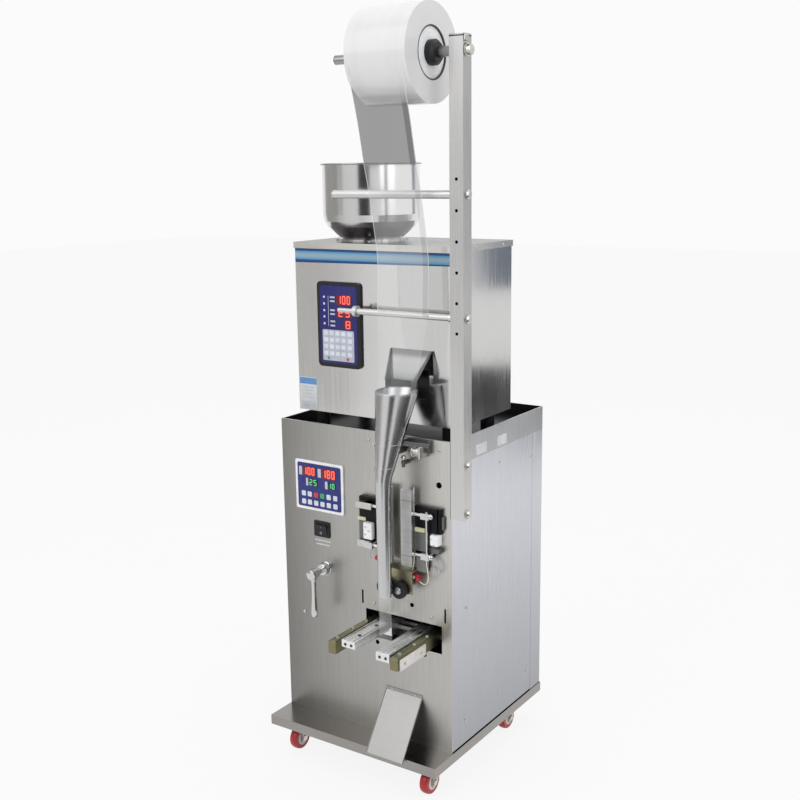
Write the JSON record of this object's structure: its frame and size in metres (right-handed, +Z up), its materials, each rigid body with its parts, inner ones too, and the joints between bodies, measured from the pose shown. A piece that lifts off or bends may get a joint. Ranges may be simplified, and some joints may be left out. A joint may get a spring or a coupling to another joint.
{
  "type": "sachet packing machine",
  "caption": "Upright sachet packing machine on castors: steel cabinet with jaws and forming tube, weigher box with round hopper, and a side mast carrying the film roll.",
  "frame": {"origin": "on the floor, under the middle of the machine's outline seen from above", "axes": "+Z up, -Y out of the front with its jaws and controls, +X to the right seen from the front, where the mast stands"},
  "size_m": [0.4354, 0.501, 1.474],
  "materials": {
    "brushed_steel": "brushed",
    "polished_steel": "polished",
    "chrome": "polished",
    "zinc_plate": "satin",
    "jaw_metal": "satin",
    "black_plastic": "matte",
    "dark_metal": "satin",
    "white_plastic": "matte",
    "blue_keypad": "gloss",
    "display": "gloss",
    "button": "matte",
    "film": "gloss",
    "wound_film": "gloss",
    "core_card": "matte",
    "red_tyre": "satin",
    "hub_plastic": "matte",
    "brass": "satin",
    "wire": "matte",
    "label": "matte"
  },
  "bodies": {
    "root": {"back_panel": "brushed_steel", "base_tray": "polished_steel", "chute": "brushed_steel", "control_panel": "blue_keypad", "film_bag": "film", "film_web": "film", "former": "polished_steel", "former_bracket": "dark_metal", "front_panel": "brushed_steel", "guide_rod": "chrome", "heaters": "dark_metal", "hopper": "polished_steel", "jaw_guides": "dark_metal", "lever_hub": "chrome", "mast": "brushed_steel", "mast_cap": "black_plastic", "mast_nuts": "chrome", "mast_shafts": "chrome", "power_switch": "black_plastic", "product_trough": "polished_steel", "roller_bracket": "zinc_plate", "side_panels": "brushed_steel", "top_pan": "brushed_steel", "weigher_box": "polished_steel", "weigher_feet": "black_plastic", "weigher_keypad": "blue_keypad", "weigher_lid": "polished_steel"},
    "film_reel": {"film_roll": "wound_film", "roll_core": "core_card", "roll_plugs": "white_plastic", "roll_knob": "black_plastic"},
    "tension_roller": {"tension_roller": "chrome"},
    "pull_roller_right": {"pull_roller_right": "black_plastic"},
    "pull_roller_left": {"pull_roller_left": "black_plastic"},
    "seal_bar_left": {"seal_bar_left": "jaw_metal"},
    "seal_bar_right": {"seal_bar_right": "jaw_metal"},
    "jaw_left": {"jaw_left": "jaw_metal", "jaw_bar_left": "zinc_plate"},
    "jaw_right": {"jaw_right": "jaw_metal", "jaw_bar_right": "zinc_plate"},
    "lever": {"lever": "chrome"},
    "power_rocker": {"power_rocker": "black_plastic"},
    "castor_fork_front_left": {"castor_fork_front_left": "zinc_plate"},
    "castor_wheel_front_left": {"castor_wheel_front_left": "red_tyre"},
    "castor_fork_front_right": {"castor_fork_front_right": "zinc_plate"},
    "castor_wheel_front_right": {"castor_wheel_front_right": "red_tyre"},
    "castor_fork_rear_left": {"castor_fork_rear_left": "zinc_plate"},
    "castor_wheel_rear_left": {"castor_wheel_rear_left": "red_tyre"},
    "castor_fork_rear_right": {"castor_fork_rear_right": "zinc_plate"},
    "castor_wheel_rear_right": {"castor_wheel_rear_right": "red_tyre"}
  },
  "joints": [
    {"name": "film_reel_turn", "type": "hinge", "parent": "root", "child": "film_reel", "pos_m": [0.07375, -0.1075, 1.388], "axis": [1, 0, 0], "continuous": true},
    {"name": "tension_roller_turn", "type": "hinge", "parent": "root", "child": "tension_roller", "pos_m": [-0.01625, -0.1075, 1.147], "axis": [1, 0, 0], "continuous": true},
    {"name": "pull_roller_right_turn", "type": "hinge", "parent": "root", "child": "pull_roller_right", "pos_m": [0.09025, -0.1615, 0.411], "axis": [0, 1, 0], "continuous": true},
    {"name": "pull_roller_left_turn", "type": "hinge", "parent": "root", "child": "pull_roller_left", "pos_m": [0.05725, -0.1615, 0.411], "axis": [0, 1, 0], "continuous": true},
    {"name": "seal_bar_left_close", "type": "slide", "parent": "root", "child": "seal_bar_left", "axis": [1, 0, 0], "range_m": [0, 0.0105]},
    {"name": "seal_bar_right_close", "type": "slide", "parent": "root", "child": "seal_bar_right", "axis": [-1, 0, 0], "range_m": [0, 0.0105]},
    {"name": "jaw_left_close", "type": "slide", "parent": "root", "child": "jaw_left", "axis": [1, 0, 0], "range_m": [0, 0.023]},
    {"name": "jaw_right_close", "type": "slide", "parent": "root", "child": "jaw_right", "axis": [-1, 0, 0], "range_m": [0, 0.023]},
    {"name": "lever_turn", "type": "hinge", "parent": "root", "child": "lever", "pos_m": [-0.11325, -0.1605, 0.404], "axis": [0, 1, 0], "range_deg": [0, 90]},
    {"name": "power_rocker_tip", "type": "hinge", "parent": "root", "child": "power_rocker", "pos_m": [-0.11925, -0.1235, 0.4855], "axis": [1, 0, 0], "range_deg": [-14, 0]},
    {"name": "castor_front_left_swivel", "type": "hinge", "parent": "root", "child": "castor_fork_front_left", "pos_m": [-0.17775, -0.1215, 0.08], "axis": [0, 0, 1], "continuous": true},
    {"name": "castor_front_left_roll", "type": "hinge", "parent": "castor_fork_front_left", "child": "castor_wheel_front_left", "pos_m": [-0.17775, -0.1425, 0.025], "axis": [1, 0, 0], "continuous": true},
    {"name": "castor_front_right_swivel", "type": "hinge", "parent": "root", "child": "castor_fork_front_right", "pos_m": [0.14525, -0.1215, 0.08], "axis": [0, 0, 1], "continuous": true},
    {"name": "castor_front_right_roll", "type": "hinge", "parent": "castor_fork_front_right", "child": "castor_wheel_front_right", "pos_m": [0.14525, -0.1425, 0.025], "axis": [1, 0, 0], "continuous": true},
    {"name": "castor_rear_left_swivel", "type": "hinge", "parent": "root", "child": "castor_fork_rear_left", "pos_m": [-0.17775, 0.1865, 0.08], "axis": [0, 0, 1], "continuous": true},
    {"name": "castor_rear_left_roll", "type": "hinge", "parent": "castor_fork_rear_left", "child": "castor_wheel_rear_left", "pos_m": [-0.17775, 0.1655, 0.025], "axis": [1, 0, 0], "continuous": true},
    {"name": "castor_rear_right_swivel", "type": "hinge", "parent": "root", "child": "castor_fork_rear_right", "pos_m": [0.14525, 0.1865, 0.08], "axis": [0, 0, 1], "continuous": true},
    {"name": "castor_rear_right_roll", "type": "hinge", "parent": "castor_fork_rear_right", "child": "castor_wheel_rear_right", "pos_m": [0.14525, 0.1655, 0.025], "axis": [1, 0, 0], "continuous": true}
  ],
  "couplings": [
    {"joint": "pull_roller_left_turn", "follows": "pull_roller_right_turn", "ratio": -1},
    {"joint": "seal_bar_right_close", "follows": "seal_bar_left_close", "ratio": 1},
    {"joint": "jaw_right_close", "follows": "jaw_left_close", "ratio": 1}
  ]
}
